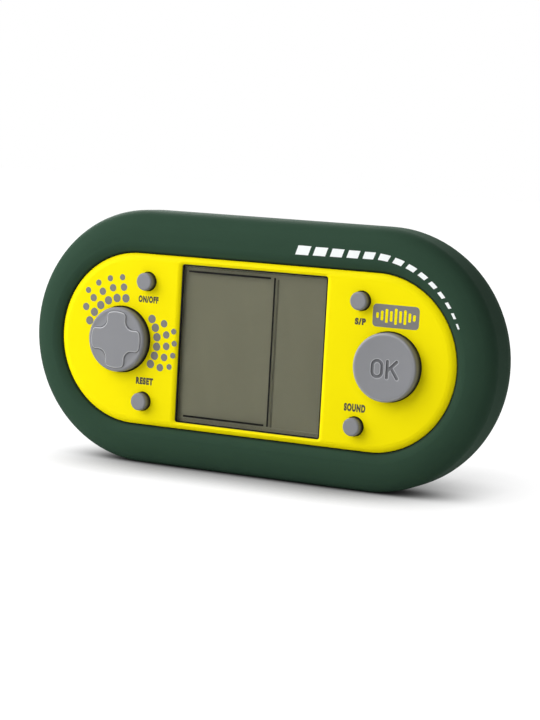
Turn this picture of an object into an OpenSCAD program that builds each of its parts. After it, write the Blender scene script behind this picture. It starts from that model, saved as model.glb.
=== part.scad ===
// Handheld game console, standing on its long lower edge.
// The pieces are drawn lying down: x to the right, y up the face, z out of the face,
// with z = 0 on the face plate's front. stand() then sets the console upright.

/* [Case] */
// Overall length of the case
body_w = 154; // [138.5:0.5:170]
// Overall height of the case
body_h = 77.4; // [69.6:0.2:85.2]
// Wall thickness of both shells
wall = 2; // [1.6:0.1:2.4]
// Height of the rim's crest over the face plate
rim_rise = 0.6; // [0.2:0.1:1.2]
// Radius of the rim's outer edge
rim_edge_r = 5; // [4:0.25:5.5]
// Radius of the rim's crown
rim_crown_r = 9.5; // [8:0.25:9.5]
// Angle that the outer edge turns through before the crown begins
rim_knee = 55; // [48:1:60]
// Radius of the rim's inner lip, down to the seam round the face plate
lip_r = 4.4; // [3.5:0.1:4.6]
// Radius of the rear shell's edge
back_r = 11.5; // [9:0.5:12]
// Depth of the joint between the shells, behind the face plate's front
part_depth = 8; // [6.5:0.25:9]
// Height of the tongue that keys the two shells together
tongue_h = 2; // [1:0.25:2.5]

/* [Face plate] */
// Width of the rim beyond the plate's ends
rim_end = 11.1; // [10.8:0.1:13]
// Width of the rim above and below the plate
rim_side = 12.7; // [12.4:0.1:13]
// Distance of the plate's centre below the case's centre
plate_drop = 0.5; // [0:0.1:0.8]
// Thickness of the face plate
plate_t = 2; // [1.8:0.1:2.6]
// Radius of the plate's rolled edge
plate_edge_r = 3; // [1.5:0.1:4]
// Drop of the rolled edge, down to the seam
plate_edge_drop = 0.9; // [0.5:0.1:1.1]
// Gap round the plate
plate_gap = 0.2; // [0.1:0.05:0.4]
// Thickness of the front shell's panel behind the plate
panel_t = 2; // [1.6:0.1:2.6]
// Diameter of the posts that stake the plate to the panel
stake_d = 2; // [1.5:0.1:2.5]

/* [Screen] */
// Width of the key field between the window and each end of the plate
key_field = 41.45; // [36.05:0.1:46.45]
// Height of the plate's strip above and below the window
window_strip = 2; // [1.8:0.1:6]
// Radius of the window's corners
window_corner_r = 0.8; // [0.4:0.1:2]
// Width of the rolled edge round the window
window_roll = 1.5; // [0.8:0.1:1.8]
// Drop of the rolled edge round the window
window_roll_drop = 0.6; // [0.3:0.05:0.8]
// Distance of the window's centre below the plate's centre
window_drop = 0.15; // [0:0.05:0.4]
// Offset of the window to the left of the plate's centre
window_shift = 0.3; // [0:0.05:0.5]
// Width of the black seal inside the window
seal_w = 0.35; // [0.3:0.05:0.6]
// Height of the black seal over the lens
seal_h = 0.5; // [0.3:0.05:0.6]
// Thickness of the clear lens
lens_t = 0.8; // [0.6:0.1:1]
// Border of the lens round the window
lens_border = 1; // [0.6:0.1:1.2]
// Thickness of each glass of the liquid crystal panel
glass_t = 1.1; // [0.7:0.1:1.2]
// Width of the panel's border beside the window
lcd_border = 2.8; // [2:0.1:3.4]
// Height of the bare contact ledge at the panel's upper and lower edges
lcd_ledge = 2.4; // [2:0.1:3]
// Thickness of the reflector sheet
reflector_t = 0.3; // [0.2:0.05:0.4]
// Wall of the frame round the panel
frame_wall = 1.5; // [1:0.1:1.8]

/* [Keys] */
// Diameter of the direction pad
dpad_d = 19.7; // [18:0.1:21]
// Height of the direction pad's disc over the plate
dpad_h = 3.4; // [2.4:0.1:3.8]
// Height of the cross over the disc
cross_h = 0.35; // [0.2:0.05:0.8]
// Width of the cross's arms
cross_w = 6.5; // [5:0.1:7.5]
// Radius of the cross's inner corners
cross_r = 2.6; // [1.5:0.1:3]
// Diameter of the OK key
ok_d = 20; // [18:0.1:21]
// Height of the OK key over the plate
ok_h = 3.7; // [2.6:0.1:4.2]
// Depth of the dish in the OK key
ok_dish = 0.35; // [0.2:0.05:0.5]
// Travel of the OK key
ok_travel = 1.2; // [0.8:0.1:1.2]
// Diameter of the small keys
small_d = 5.35; // [5:0.05:6.4]
// Height of the small keys over the plate
small_h = 2.7; // [1.8:0.1:3.2]
// Travel of the small keys
small_travel = 1; // [0.6:0.1:1.2]
// Radius of the large keys' upper edges
key_edge_r = 0.9; // [0.5:0.1:1.1]
// Radius of the small keys' upper edges
small_edge_r = 0.6; // [0.3:0.1:0.9]
// Gap round each key in the plate
key_gap = 0.3; // [0.25:0.05:0.45]
// Offset of the direction pad towards the window from the middle of its key field
dpad_shift = 0.7; // [0:0.05:1]
// Offset of the OK key away from the window, from the middle of its key field
ok_shift = 0.15; // [0:0.05:0.5]
// Offset of the four small keys to the left
small_shift = 0.25; // [0:0.05:0.4]
// Distance from the window's side to the small keys
small_inset = 11.35; // [10.95:0.1:12.05]
// Distance of the small keys inside the plate's upper and lower edges
small_margin = 7.7; // [7.3:0.1:8.5]
// Distance of the key line below the plate's centre
key_drop = 0.6; // [0:0.1:1]
// Width of the hidden flange that holds a key in
key_flange = 1.3; // [0.9:0.1:1.4]

/* [Board] */
// Room between the panel and the board
key_room = 4; // [3.9:0.1:5]
// Thickness of the board
board_t = 1.2; // [1:0.1:1.6]
// Margin of the board inside the plate's ends
board_end = 5.3; // [5:0.1:6]
// Margin of the board inside the plate's height
board_side = 1; // [0.6:0.1:1.5]
// Radius of the board's corners
board_r = 14; // [12:0.5:16]
// Thickness of the rubber mats
mat_t = 0.8; // [0.6:0.1:0.9]
// Thickness of the carbon pills
pill_t = 0.3; // [0.2:0.05:0.4]

/* [Power] */
// Diameter of a battery cell
cell_d = 10.5; // [9:0.1:14.5]
// Length of a battery cell with its button
cell_l = 44.5; // [40:0.5:46]
// Space between the two cells
cell_space = 0.7; // [0.4:0.1:2]
// Length of a fitted battery spring
spring_l = 4.2; // [4:0.1:6]
// Turns of a battery spring
spring_turns = 3.5; // [2.5:0.5:3.5]
// Wire diameter of a battery spring
spring_wire = 0.6; // [0.4:0.1:0.7]
// Thickness of the sheet metal contacts
contact_t = 0.4; // [0.3:0.05:0.6]
// Gap between the board and the battery bay
bay_gap = 0.7; // [0.5:0.1:3]
// Wall of the battery bay
bay_wall = 1.2; // [1:0.1:2]
// Ledge that carries the door's long edges
door_ledge = 1.5; // [1.2:0.1:2.5]
// Ledge that carries the door's short edges
door_end_ledge = 2.8; // [2.4:0.1:4]
// Gap round the door
door_gap = 0.3; // [0.2:0.05:0.5]

/* [Buzzer] */
// Diameter of the brass disc
buzzer_d = 20; // [16:0.5:22]
// Thickness of the brass disc
buzzer_t = 0.3; // [0.2:0.05:0.5]
// Diameter of the ceramic on the disc
ceramic_d = 14; // [10:0.5:15]
// Diameter of a sound hole
sound_hole_d = 1.8; // [1:0.1:2.4]

/* [Fasteners] */
// Core diameter of the case screws
screw_d = 2.2; // [1.8:0.1:2.6]
// Head diameter of the case screws
screw_head_d = 5; // [4:0.1:5.2]
// Distance of the case screws inside the outline
screw_inset = 7; // [6.8:0.1:7.4]
// Core diameter of the board screws
board_screw_d = 1.7; // [1.4:0.1:2]
// Head diameter of the board screws
board_screw_head_d = 3.8; // [3:0.1:4.4]

/* [Hidden] */
$fn = 96;
tiny = 0.05;
fit = 0.1;
loose = 0.15;

// Case outline: two half circles joined by straights
body_r = body_h / 2;
body_half = body_w / 2 - body_r;
crest_z = rim_rise;
part_z = -part_depth;
cut_over = 2;
tongue_wall = 1.2;
tongue_root_h = 2;

// Centres of the two arcs of the rim's section, as radius and depth; the arcs cross at the knee
knee_crossing = 0.01;
crown_at = [body_r - rim_edge_r - (rim_crown_r - rim_edge_r) * cos(rim_knee),
            crest_z + knee_crossing - rim_crown_r];
edge_at = crown_at + (rim_crown_r - rim_edge_r) * [cos(rim_knee), sin(rim_knee)];

// Face plate outline, a stadium of its own inside the rim
plate_w = body_w - 2 * rim_end;
plate_h = body_h - 2 * rim_side;
plate_r = plate_h / 2;
plate_half = plate_w / 2 - plate_r;
plate_y = -plate_drop;
panel_z = -plate_t - panel_t;

// Seam round the plate: the plate's edge rolls down to it, and the rim's lip rises from it
seam_z = -plate_edge_drop;
edge_run = sqrt(pow(plate_edge_r, 2) - pow(plate_edge_r - plate_edge_drop, 2));
edge_step = 0.03;
lip_crossing = 0.02;
lip_step = 0.05;
lip_drop = crest_z - seam_z + lip_crossing;
lip_run = sqrt(pow(lip_r, 2) - pow(lip_r - lip_drop, 2));

// Window between the two key fields; its rolled edge crosses the plate's front
window_w = plate_w - 2 * key_field;
window_h = plate_h - 2 * window_strip;
window_crossing = 0.01;
window_roll_h = window_roll_drop + window_crossing;
window_roll_r = (pow(window_roll, 2) + pow(window_roll_h, 2)) / (2 * window_roll_h);

// Stack of the screen, from the plate's back to the board
window_x = -window_shift;
window_y = plate_y - window_drop;
lens_front_z = lens_t - plate_t;
lens_w = window_w + 2 * lens_border;
lens_h = window_h + 2 * lens_border;
lcd_w = window_w + 2 * lcd_border;
lcd_h = lens_h + 2 * fit;
lcd_z = -plate_t;
reflector_z = lcd_z - 2 * glass_t;
frame_floor_z = reflector_z - reflector_t;
frame_floor_t = 1.2;
frame_w = lcd_w + 2 * (loose + frame_wall);
frame_h = lcd_h + 2 * (loose + frame_wall);
strip_end = 2;
strip_l = lcd_w - 2 * strip_end;
strip_t = lcd_ledge - 2 * loose;
strip_y = lcd_h / 2 - lcd_ledge / 2;

// Board and what stands on it
board_z = panel_z - key_room;
board_back = board_z - board_t;
board_w = plate_w - 2 * board_end;
board_h = plate_h - 2 * board_side;
board_part_inset = 7;
chip_inset = 12.6;
mat_z = board_z + mat_t;
mat_border = 0.7;
mat_strip_w = 9;
mat_corner_r = 3;

// Depth of the case: the stack from the board back to the door
bay_cover_z = board_back - bay_gap;
bay_roof_z = bay_cover_z - bay_wall;
cell_play = 0.2;
cell_z = bay_roof_z - cell_play - cell_d / 2;
back_inner_z = cell_z - cell_d / 2 - cell_play;
back_z = back_inner_z - wall;
front_z = max(crest_z, dpad_h + cross_h, ok_h, small_h);
depth_mid = (front_z + back_z) / 2;

// Key places on the face
key_y = plate_y - key_drop;
pad_x = (plate_w - key_field) / 2;
small_x = window_w / 2 + small_inset;
small_rise = plate_h / 2 - small_margin;
dpad_at = [dpad_shift - pad_x, key_y];
ok_at = [pad_x + ok_shift, key_y];
on_off_at = [-small_x - small_shift, key_y + small_rise];
reset_at = [-small_x - small_shift, key_y - small_rise];
start_at = [small_x - small_shift, key_y + small_rise];
sound_at = [small_x - small_shift, key_y - small_rise];
small_places = [on_off_at, reset_at, start_at, sound_at];
panel_hole_extra = 0.4;
flange_z = panel_z - fit;
flange_t = 0.9;
contact_gap = 0.1;
collar_h = 0.6;
collar_wall = 1.2;

// Direction pad: it rocks about a point inside the disc, on the stud's round nose
pad_relief = 0.6;
pad_relief_gap = 0.8;
pad_hole_extra = 0.1;
pad_pivot_z = -1.5;
pad_flange_r = dpad_d / 2 + key_flange + pad_hole_extra;
pad_flange_t = 0.8;
pad_flange_z = (panel_z + pad_relief + mat_z + pad_flange_t) / 2;
pad_pill_r = 7.5;
pad_stem_d = 2.6;
pad_stem_play = 0.9;
pad_pill_z = mat_z + tiny;
pad_socket_depth = 0.6;
pad_socket_z = pad_flange_z - pad_flange_t + pad_socket_depth;
stud_d = 4;
stud_play = 0.5;
stud_top_play = 0.25;
stud_nose_z = mat_z + fit;
cross_margin = 1.2;
cross_tip_r = dpad_d / 2 - cross_margin;
pad_stems = [for (i = [0:3]) pad_pill_r * [cos(90 * i), sin(90 * i)]];

// OK key and small keys
ok_stem_d = 5;
ok_skin = 1.9;
small_stem_d = 3;
stem_play = 0.7;

// Case screws: four at the ends' diagonals and one at the middle of each long side
screw_r = body_r - screw_inset;
screw_diagonal = 45;
screw_places = concat(
    [for (sx = [-1, 1]) for (sy = [-1, 1])
        [sx * (body_half + screw_r * cos(screw_diagonal)), sy * screw_r * sin(screw_diagonal)]],
    [for (sy = [-1, 1]) [0, sy * screw_r]]);
boss_d = 6;
post_d = 7.4;
screw_floor_t = 4;
screw_seat_z = part_z - screw_floor_t;
screw_head_h = 1.8;
screw_bite = 6;
screw_tip_z = part_z + screw_bite;
screw_end_room = 0.5;
well_play = 0.5;
well_d = screw_head_d + 2 * well_play;

// Board screws round the outer side of each large key, clear of the pad's flange
board_boss_d = 5.4;
board_boss_gap = 1.5;
board_screw_reach = pad_flange_r + pad_relief_gap + board_boss_d / 2 + board_boss_gap;
board_screw_angle = 51;
board_screw_out = board_screw_reach * [cos(board_screw_angle), sin(board_screw_angle)];
board_screw_places = [for (sx = [-1, 1]) for (sy = [-1, 1])
    [sx * (pad_x + board_screw_out[0]), key_y + sy * board_screw_out[1]]];
board_screw_head_h = 1.4;
board_screw_end_room = 0.4;
board_hole_skin = 0.6;

// Stakes of the face plate
stake_from_key = 5;
stake_x = small_x - stake_from_key;
stake_rise = 8.6;
stake_end_inset = 4.8;
stake_end_x = plate_w / 2 - stake_end_inset;
stake_places = concat(
    [for (sx = [-1, 1]) for (sy = [-1, 1]) [sx * stake_x, plate_y + sy * stake_rise]],
    [for (sx = [-1, 1]) [sx * stake_end_x, plate_y]]);
stake_out = 0.6;

// Battery bay, door and contacts
bay_l = cell_l + spring_l + 2 * contact_t + 2 * cell_play;
bay_h = 2 * cell_d + cell_space + 2 * cell_play;
door_hole_l = bay_l + 2 * door_end_ledge;
door_hole_h = bay_h + 2 * door_ledge;
door_l = door_hole_l - 2 * door_gap;
door_h = door_hole_h - 2 * door_gap;
door_edge_x = door_l / 2;
cell_y = (cell_d + cell_space) / 2;
hook_w = 6;
hook_out = 1.8;
hook_root = 1.5;
hook_t = 1.1;
hook_y = door_h / 4;
hook_swing = 2.1;
notch_depth = hook_t + hook_swing;
bay_end_wall = hook_out + door_gap + bay_wall;
tab_w = 10;
tab_l = 8;
tab_slit = 0.8;
grip_count = 4;
grip_pitch = 1.5;
grip_h = 0.4;
grip_margin = 0.8;
contact_w = 8;
contact_h = 8;
contact_z = cell_z;
solder_tab_w = 2.5;
solder_tab_drop = 1.6;
solder_tab_z = bay_roof_z - solder_tab_drop;
solder_tab_out = 1.4;
solder_tab_x = bay_l / 2 + door_end_ledge + bay_wall + solder_tab_out;
spring_big_r = 3.4;
spring_small_r = 2;
button_d = 3.8;
button_h = 0.8;
cell_start = -bay_l / 2 + contact_t + spring_l + cell_play;

// Buzzer seat on the rear wall, midway between the battery bay and the case's end
bay_end_x = door_hole_l / 2 + bay_end_wall;
buzzer_x = (bay_end_x + body_w / 2 - wall) / 2;
buzzer_air = 1.5;
buzzer_z = back_inner_z + buzzer_air;
buzzer_ring_h = 1;
buzzer_ring_wall = 1.5;
buzzer_ledge = 1.2;
ceramic_t = 0.3;
sound_ring_r = 4.6;

// Wires: start and end of each, with the height of its bends
wire_d = 1;
wire_bend = 2.2;
battery_wire_shift = 3.4;
buzzer_wire_shift = 6;
buzzer_wire_y = 8.4;

// Sets the lying console upright, its lower edge on the floor and its depth centred.
module stand() {
    translate([0, depth_mid, body_h / 2]) rotate([90, 0, 0]) children();
}

// Sector of a disc between two angles.
module sector(r, from, to) {
    reach = 2 * r;
    intersection() {
        circle(r);
        polygon([[0, 0], reach * [cos(from), sin(from)], reach * [cos(to), sin(to)]]);
    }
}

// Quarter disc in the first quadrant.
module quarter(r) {
    sector(r, 0, 90);
}

// Solid stadium whose half section is the child, drawn as radius against depth.
module stadium(half) {
    for (side = [-1, 1])
        translate([side * half, 0, 0]) rotate([0, 0, -side * 90]) rotate_extrude(angle = 180) children();
    rotate([90, 0, 90]) linear_extrude(2 * half, center = true) {
        children();
        mirror([1, 0]) children();
    }
}

// Stadium prism of radius r from z0 to z1.
module stadium_block(half, r, z0, z1) {
    translate([0, 0, z0]) linear_extrude(z1 - z0) {
        square([2 * half, 2 * r], center = true);
        for (side = [-1, 1]) translate([side * half, 0]) circle(r);
    }
}

// Rectangle with round corners, centred.
module round_rect(w, h, r) {
    square([w - 2 * r, h], center = true);
    square([w, h - 2 * r], center = true);
    for (sx = [-1, 1]) for (sy = [-1, 1])
        translate([sx * (w / 2 - r), sy * (h / 2 - r)]) circle(r);
}

// Block with round corners from z0 to z1.
module round_block(w, h, r, z0, z1) {
    translate([0, 0, z0]) linear_extrude(z1 - z0) round_rect(w, h, r);
}

// Plain block centred in x and y, from z0 to z1.
module block(w, h, z0, z1) {
    translate([-w / 2, -h / 2, z0]) cube([w, h, z1 - z0]);
}

// Upright rod of diameter d from z0 to z1.
module rod(d, z0, z1) {
    translate([0, 0, z0]) cylinder(d = d, h = z1 - z0);
}

// Child profile, drawn outwards from an outline, carried round a rectangle with round corners.
module outline_sweep(w, h, r) {
    corners = [[1, 1], [-1, 1], [-1, -1], [1, -1]];
    for (i = [0:3])
        translate([corners[i][0] * (w / 2 - r), corners[i][1] * (h / 2 - r), 0])
            rotate([0, 0, 90 * i]) rotate_extrude(angle = 90) translate([r, 0]) children();
    for (side = [0, 180]) {
        rotate([0, 0, side]) translate([w / 2, 0, 0]) rotate([90, 0, 0])
            linear_extrude(h - 2 * r, center = true) children();
        rotate([0, 0, side + 90]) translate([h / 2, 0, 0]) rotate([90, 0, 0])
            linear_extrude(w - 2 * r, center = true) children();
    }
}

// Half section of the whole case, shrunk by inset: a crowned front edge and a round rear edge.
module case_section(inset) {
    r = body_r - inset;
    back = back_z + inset;
    rear_r = back_r - inset;
    crown_r = rim_crown_r - knee_crossing - inset;
    translate(crown_at) sector(crown_r, rim_knee, 90);
    translate(edge_at) circle(rim_edge_r - inset);
    translate([0, crown_at[1]]) square([crown_at[0], crown_r]);
    translate([0, back + rear_r]) square([r, edge_at[1] - back - rear_r]);
    translate([0, back]) square([r - rear_r, rear_r]);
    translate([r - rear_r, back + rear_r]) mirror([0, 1]) quarter(rear_r);
}

// Part of the case's half section between two depths.
module case_slice(inset, z0, z1) {
    intersection() {
        case_section(inset);
        translate([0, z0]) square([body_r, z1 - z0]);
    }
}

// Half section of the plate's pocket: straight walls up to the seam, then the flare of the lip.
module pocket_section() {
    r = plate_r + plate_gap;
    lip_x = r + lip_step + lip_run;
    translate([0, -plate_t]) square([r, seam_z + plate_t]);
    difference() {
        translate([0, seam_z]) square([lip_x, crest_z - seam_z + cut_over]);
        translate([lip_x, seam_z + lip_drop - lip_r]) circle(lip_r);
    }
}

// Half section of the face plate: its edge rolls down to the seam.
module plate_section() {
    translate([0, -plate_t]) square([plate_r, plate_t + seam_z]);
    roll_x = plate_r - edge_step - edge_run;
    translate([0, seam_z]) square([roll_x, -seam_z]);
    translate([roll_x, 0]) intersection() {
        translate([0, -plate_edge_r]) circle(plate_edge_r);
        translate([0, seam_z]) square([edge_run + cut_over, -seam_z]);
    }
}

// Round key turned from its half section: cap with a rounded edge, and a flange behind the panel.
module turned_key(d, top, edge_r, hole_d) {
    rotate_extrude() {
        translate([0, flange_z - flange_t]) square([d / 2, top - edge_r - flange_z + flange_t]);
        translate([0, top - edge_r]) square([d / 2 - edge_r, edge_r]);
        translate([d / 2 - edge_r, top - edge_r]) quarter(edge_r);
        translate([0, flange_z - flange_t]) square([hole_d / 2 + key_flange, flange_t]);
    }
}

// Holes of all keys through a layer, wider by extra.
module key_holes(extra, z0, z1) {
    translate(dpad_at) rod(dpad_d + 2 * key_gap + 2 * pad_hole_extra + extra, z0, z1);
    translate(ok_at) rod(ok_d + 2 * key_gap + extra, z0, z1);
    for (at = small_places) translate(at) rod(small_d + 2 * key_gap + extra, z0, z1);
}

// Front shell: crowned rim, pocket for the plate, panel, bosses for both kinds of screws.
module front_shell() {
    color("#2f4a3a") stand() difference() {
        union() {
            difference() {
                stadium(body_half) case_slice(0, part_z, crest_z + cut_over);
                difference() {
                    stadium(body_half) case_slice(wall, part_z - cut_over, crest_z);
                    translate([0, plate_y, 0])
                        stadium_block(plate_half, plate_r + plate_gap + wall, panel_z, crest_z);
                }
            }
            intersection() {
                stadium(body_half) case_slice(wall / 2, part_z, crest_z);
                for (at = screw_places) translate(at) rod(boss_d, part_z, crest_z);
            }
            for (at = board_screw_places) translate(at) rod(board_boss_d, board_z, panel_z + tiny);
        }
        translate([0, plate_y, 0]) stadium(plate_half) pocket_section();
        translate([window_x, window_y, 0]) block(lcd_w + 2 * loose, lcd_h + 2 * loose, panel_z - tiny, 0);
        key_holes(panel_hole_extra, panel_z - tiny, 0);
        translate(dpad_at)
            rod(2 * (pad_flange_r + pad_relief_gap), panel_z - tiny, panel_z + pad_relief);
        for (at = stake_places) translate(at) rod(stake_d + 2 * fit, panel_z - tiny, 0);
        for (at = screw_places)
            translate(at) rod(screw_d + fit, part_z - tiny, screw_tip_z + screw_end_room);
        for (at = board_screw_places)
            translate(at) rod(board_screw_d + fit, board_z - tiny, -plate_t - board_hole_skin);
    }
}

// Recess for the battery door, with notches for its hooks.
module door_recess() {
    block(door_hole_l, door_hole_h, back_z - cut_over, back_inner_z);
    for (side = [-1, 1])
        translate([bay_l / 2 - tiny, side * hook_y - hook_w / 2 - door_gap, back_inner_z - tiny])
            cube([door_end_ledge + door_gap + hook_out + tiny, hook_w + 2 * door_gap, notch_depth]);
}

// Rear shell: round back, tongue, screw posts, battery bay and the buzzer's seat.
module rear_shell() {
    bay_out_l = door_hole_l + 2 * bay_wall;
    tongue_r = body_r - wall - fit;
    tongue_in_r = tongue_r - tongue_wall;
    color("#2f4a3a") stand() difference() {
        union() {
            difference() {
                stadium(body_half) case_slice(0, back_z - cut_over, part_z);
                stadium(body_half) case_slice(wall, back_z, part_z + cut_over);
            }
            difference() {
                stadium_block(body_half, tongue_r, part_z, part_z + tongue_h);
                stadium_block(body_half, tongue_in_r, part_z - tiny, part_z + tongue_h + tiny);
            }
            difference() {
                stadium_block(body_half, body_r - wall / 2, part_z - tongue_root_h, part_z);
                stadium_block(body_half, tongue_in_r, part_z - tongue_root_h - tiny, part_z + tiny);
            }
            intersection() {
                stadium(body_half) case_slice(wall / 2, back_z, part_z);
                for (at = screw_places) translate(at) {
                    rod(post_d, back_z, screw_seat_z + bay_wall);
                    rod(boss_d, screw_seat_z, part_z);
                }
            }
            translate([(bay_end_wall - bay_wall) / 2, 0, 0])
                block(bay_out_l + bay_end_wall - bay_wall, door_hole_h + 2 * bay_wall,
                      back_inner_z - tiny, bay_cover_z);
            translate([buzzer_x, 0, 0])
                rod(buzzer_d + 2 * buzzer_ring_wall, back_inner_z - tiny, buzzer_z + buzzer_ring_h);
        }
        block(bay_l, bay_h, back_z - tiny, bay_roof_z);
        door_recess();
        for (side = [-1, 1]) translate([-bay_l / 2, side * cell_y, 0])
            block(2 * (door_end_ledge + bay_wall + tiny), solder_tab_w + 2 * fit,
                  solder_tab_z - fit, solder_tab_z + contact_t + fit);
        translate([buzzer_x, 0, 0]) {
            rod(buzzer_d + 2 * loose, buzzer_z, buzzer_z + buzzer_ring_h + tiny);
            rod(buzzer_d - 2 * buzzer_ledge, back_inner_z, buzzer_z + tiny);
            rod(sound_hole_d, back_z - tiny, back_inner_z + tiny);
            for (i = [0:5]) rotate([0, 0, 60 * i]) translate([sound_ring_r, 0, 0])
                rod(sound_hole_d, back_z - tiny, back_inner_z + tiny);
        }
        for (at = screw_places) translate(at) {
            rod(screw_d + 2 * fit, screw_seat_z - tiny, part_z + tiny);
            rod(well_d, back_z - tiny, screw_seat_z);
        }
    }
}

// Face plate: rounded stadium with the window, key holes, lens rebate and stakes.
module faceplate() {
    color("#f0e004") stand() {
        difference() {
            translate([0, plate_y, 0]) stadium(plate_half) plate_section();
            translate([window_x, window_y, 0]) {
                round_block(window_w, window_h, window_corner_r, -plate_t - tiny, tiny);
                block(lens_w + 2 * fit, lens_h + 2 * fit, -plate_t - tiny, lens_front_z);
                outline_sweep(window_w, window_h, window_corner_r) difference() {
                    translate([-tiny, -2 * window_roll_drop])
                        square([window_roll + tiny, 2 * window_roll_drop + tiny]);
                    translate([window_roll, window_crossing - window_roll_r]) circle(window_roll_r);
                }
            }
            key_holes(0, -plate_t - tiny, tiny);
        }
        for (at = stake_places) translate(at) rod(stake_d, panel_z - stake_out, tiny - plate_t);
    }
}

// Clear lens in the plate's rebate.
module screen_lens() {
    color([0.8, 0.82, 0.75, 0.35]) stand() translate([window_x, window_y, 0])
        block(lens_w, lens_h, -plate_t, lens_front_z);
}

// Black seal round the lens, inside the window's rolled edge.
module window_seal() {
    outer_w = window_w - 2 * fit;
    outer_h = window_h - 2 * fit;
    inner_r = max(window_corner_r - fit - seal_w, fit);
    color("#101010") stand() translate([window_x, window_y, 0]) difference() {
        round_block(outer_w, outer_h, window_corner_r - fit, lens_front_z, lens_front_z + seal_h);
        round_block(outer_w - 2 * seal_w, outer_h - 2 * seal_w, inner_r,
            lens_front_z - tiny, lens_front_z + seal_h + tiny);
    }
}

// Liquid crystal panel: the rear glass leaves a contact ledge above and below.
module lcd_panel() {
    color("#6f6e5c") stand() translate([window_x, window_y, 0]) {
        block(lcd_w, lcd_h, lcd_z - glass_t, lcd_z);
        block(lcd_w, lcd_h - 2 * lcd_ledge, lcd_z - 2 * glass_t, lcd_z - glass_t + tiny);
    }
}

// Reflector sheet on the panel's back.
module lcd_reflector() {
    color("silver") stand() translate([window_x, window_y, 0])
        block(lcd_w, lcd_h - 2 * lcd_ledge, reflector_z - reflector_t, reflector_z);
}

// Frame that carries the panel over the board, with slots for the contact strips.
module lcd_frame() {
    color("#e8e8e2") stand() translate([window_x, window_y, 0]) difference() {
        block(frame_w, frame_h, board_z, panel_z);
        block(lcd_w + 2 * loose, lcd_h + 2 * loose, frame_floor_z, panel_z + tiny);
        block(lcd_w + 2 * loose, lcd_h - 2 * lcd_ledge, board_z - tiny, frame_floor_z - frame_floor_t);
        for (side = [-1, 1]) translate([0, side * strip_y, 0])
            block(strip_l + 2 * loose, strip_t + 2 * loose, board_z - tiny, panel_z + tiny);
    }
}

// Conductive rubber strips between the panel's ledges and the board.
module contact_strips() {
    color("#3a3a3c") stand() for (side = [-1, 1]) translate([window_x, window_y + side * strip_y, 0])
        block(strip_l, strip_t, board_z, lcd_z - glass_t);
}

// Main board with its screw holes.
module main_board() {
    color("#9a7a3c") stand() difference() {
        translate([0, plate_y, 0]) round_block(board_w, board_h, board_r, board_back, board_z);
        for (at = board_screw_places)
            translate(at) rod(board_screw_d + 2 * loose, board_back - tiny, board_z + tiny);
    }
}

// Epoxy blob over the bonded chip: a cap cut from a sphere.
module chip_blob() {
    blob_d = 14;
    blob_h = 2.4;
    ball_r = (blob_d * blob_d / 4 + blob_h * blob_h) / (2 * blob_h);
    color("#161616") stand() translate([chip_inset - board_w / 2, key_y, board_back]) intersection() {
        translate([0, 0, ball_r - blob_h]) sphere(ball_r);
        rod(2 * ball_r, -blob_h - tiny, 0);
    }
}

// Timing crystal in its flat can.
module crystal() {
    can_l = 11;
    can_w = 4.6;
    can_h = 3.5;
    color("#c4c6c8") stand() translate([-small_x, plate_y + board_h / 2 - board_part_inset, 0])
        round_block(can_l, can_w, can_w / 2 - tiny, board_back - can_h, board_back);
}

// Two upright capacitors.
module capacitors() {
    can_d = 5;
    can_h = 7;
    color("#25304a") stand() for (side = [-1, 1])
        translate([small_x, plate_y + side * (board_h / 2 - board_part_inset), 0])
            rod(can_d, board_back - can_h, board_back);
}

// Rubber mat of one side: a sheet with a collar round every key's stem.
module key_mat(pad_at, small_ats, pad_stems, pad_hole_d) {
    strip_mid = (small_ats[0] + small_ats[1]) / 2;
    small_hole_d = small_stem_d + 2 * stem_play;
    difference() {
        union() {
            translate(pad_at) rod(2 * (pad_flange_r + mat_border), board_z, mat_z);
            translate(strip_mid)
                round_block(mat_strip_w, 2 * small_rise + mat_strip_w, mat_corner_r, board_z, mat_z);
            for (at = small_ats)
                translate(at) rod(small_hole_d + 2 * collar_wall, board_z, mat_z + collar_h);
            if (len(pad_stems) == 1)
                translate(pad_at) rod(pad_hole_d + 2 * collar_wall, board_z, mat_z + collar_h);
        }
        for (at = small_ats) translate(at) rod(small_hole_d, board_z - tiny, mat_z + collar_h + tiny);
        for (stem = pad_stems)
            translate(pad_at + stem) rod(pad_hole_d, board_z - tiny, mat_z + collar_h + tiny);
    }
}

module left_key_mat() {
    color("#d8d8d0") stand()
        key_mat(dpad_at, [on_off_at, reset_at], pad_stems, pad_stem_d + 2 * pad_stem_play);
}

module right_key_mat() {
    color("#d8d8d0") stand()
        key_mat(ok_at, [start_at, sound_at], [[0, 0]], ok_stem_d + 2 * stem_play);
}

// Outline of the cross: two arms with hollow inner corners, cut round at the tips.
module cross_outline() {
    reach = cross_w / 2 + cross_r;
    intersection() {
        circle(cross_tip_r);
        union() {
            square([dpad_d, cross_w], center = true);
            square([cross_w, dpad_d], center = true);
            difference() {
                square(2 * reach, center = true);
                for (sx = [-1, 1]) for (sy = [-1, 1])
                    translate([sx * reach, sy * reach]) circle(cross_r);
            }
        }
    }
}

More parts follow.
